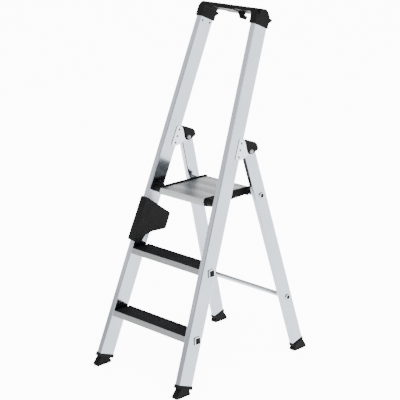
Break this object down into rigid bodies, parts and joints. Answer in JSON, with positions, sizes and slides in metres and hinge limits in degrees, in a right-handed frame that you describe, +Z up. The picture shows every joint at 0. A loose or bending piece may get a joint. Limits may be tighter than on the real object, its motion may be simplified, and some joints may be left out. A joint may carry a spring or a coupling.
{
  "type": "folding platform stepladder",
  "caption": "One-sided folding stepladder with a leaning front frame and guard rail, flat treads, a hinged rear frame and a fold-up standing platform.",
  "frame": {"origin": "on the floor, at the centre of the open ladder's footprint box", "axes": "+Z up; +Y from the climbing side towards the rear legs; +X to the climber's right"},
  "size_m": [0.479, 0.744, 1.4111],
  "materials": {
    "satin_aluminium": "satin extruded profile",
    "tube_aluminium": "satin drawn tube",
    "tread_aluminium": "satin extruded profile",
    "deck_aluminium": "ribbed extruded profile",
    "hinge_steel": "zinc plated",
    "bolt_steel": "zinc plated",
    "rivet_metal": "satin",
    "black_screw": "blackened",
    "black_plug": "smooth moulded",
    "black_plastic": "fine moulded texture",
    "tread_rubber": "ribbed",
    "foot_rubber": "matte"
  },
  "bodies": {
    "front_frame": {"left_front_stile": "satin_aluminium", "right_front_stile": "satin_aluminium", "head_cap": "black_plastic", "head_rivets": "rivet_metal", "lower_tread": "tread_aluminium", "upper_tread": "tread_aluminium", "lower_tread_pad": "tread_rubber", "upper_tread_pad": "tread_rubber", "lower_tread_tube": "tube_aluminium", "upper_tread_tube": "tube_aluminium", "tread_tube_plugs": "black_plug", "left_front_foot": "foot_rubber", "right_front_foot": "foot_rubber", "left_hinge_plate_inner": "hinge_steel", "left_hinge_plate_outer": "hinge_steel", "right_hinge_plate_inner": "hinge_steel", "right_hinge_plate_outer": "hinge_steel", "left_hinge_rivets": "rivet_metal", "right_hinge_rivets": "rivet_metal", "left_hinge_bolt": "bolt_steel", "right_hinge_bolt": "bolt_steel", "left_bearing_shoe": "black_plastic", "right_bearing_shoe": "black_plastic", "shoe_rivets": "rivet_metal", "left_platform_pin": "bolt_steel", "right_platform_pin": "bolt_steel", "carry_grip": "black_plastic", "grip_screws": "black_screw"},
    "rear_frame": {"left_rear_leg": "satin_aluminium", "right_rear_leg": "satin_aluminium", "left_leg_cap": "black_plastic", "right_leg_cap": "black_plastic", "upper_cross_tube": "tube_aluminium", "lower_cross_tube": "tube_aluminium", "cross_tube_plugs": "black_plug", "left_rear_foot": "foot_rubber", "right_rear_foot": "foot_rubber"},
    "platform": {"platform_deck": "deck_aluminium", "left_platform_bracket": "black_plastic", "right_platform_bracket": "black_plastic", "bracket_rivets": "rivet_metal"}
  },
  "joints": [
    {"name": "rear_leg_fold", "type": "hinge", "parent": "front_frame", "child": "rear_frame", "pos_m": [0, 0.08025, 0.87414], "axis": [-1, 0, 0], "range_deg": [0, 36.6]},
    {"name": "platform_fold", "type": "hinge", "parent": "front_frame", "child": "platform", "pos_m": [0, -0.09, 0.695], "axis": [1, 0, 0], "range_deg": [0, 69]}
  ],
  "couplings": [
    {"joint": "platform_fold", "follows": "rear_leg_fold", "ratio": 1.88}
  ]
}
